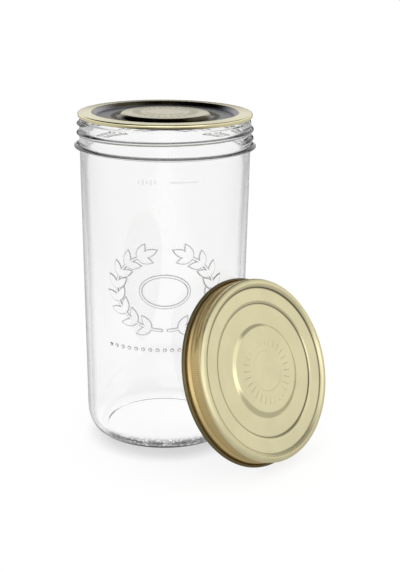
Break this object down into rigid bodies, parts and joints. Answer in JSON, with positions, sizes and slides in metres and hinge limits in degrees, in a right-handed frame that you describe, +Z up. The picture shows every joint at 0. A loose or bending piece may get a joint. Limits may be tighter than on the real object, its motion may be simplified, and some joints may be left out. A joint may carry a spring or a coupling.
{
  "type": "canning jar",
  "caption": "Tall clear glass canning jar with a flat metal sealing lid on its rim, and its screw cap taken off and leaning against the side.",
  "frame": {"origin": "on the table, under the middle of the box around the jar and the leaning cap", "axes": "+Z up along the jar's axis; the picture looks along +Y, with +X to its right"},
  "size_m": [0.1618, 0.1614, 0.2104],
  "materials": {
    "clear_glass": "clear, smooth, slightly rippled moulded glass",
    "lid_gold": "gold-lacquered tinplate, glossy",
    "seal_compound": "matt sealing compound",
    "cap_gold": "gold-lacquered tinplate, glossy"
  },
  "bodies": {
    "jar": {"glass_jar": "clear_glass"},
    "lid": {"sealing_lid": "lid_gold", "seal_ring": "seal_compound"},
    "cap": {"screw_cap": "cap_gold"}
  },
  "joints": [
    {"name": "lid_lift", "type": "slide", "parent": "jar", "child": "lid", "axis": [0, 0, 1], "range_m": [0, 0.12]},
    {"name": "cap_lift", "type": "slide", "parent": "jar", "child": "cap", "axis": [0.6817, -0.6424, 0.3502], "range_m": [0, 0.15]}
  ]
}
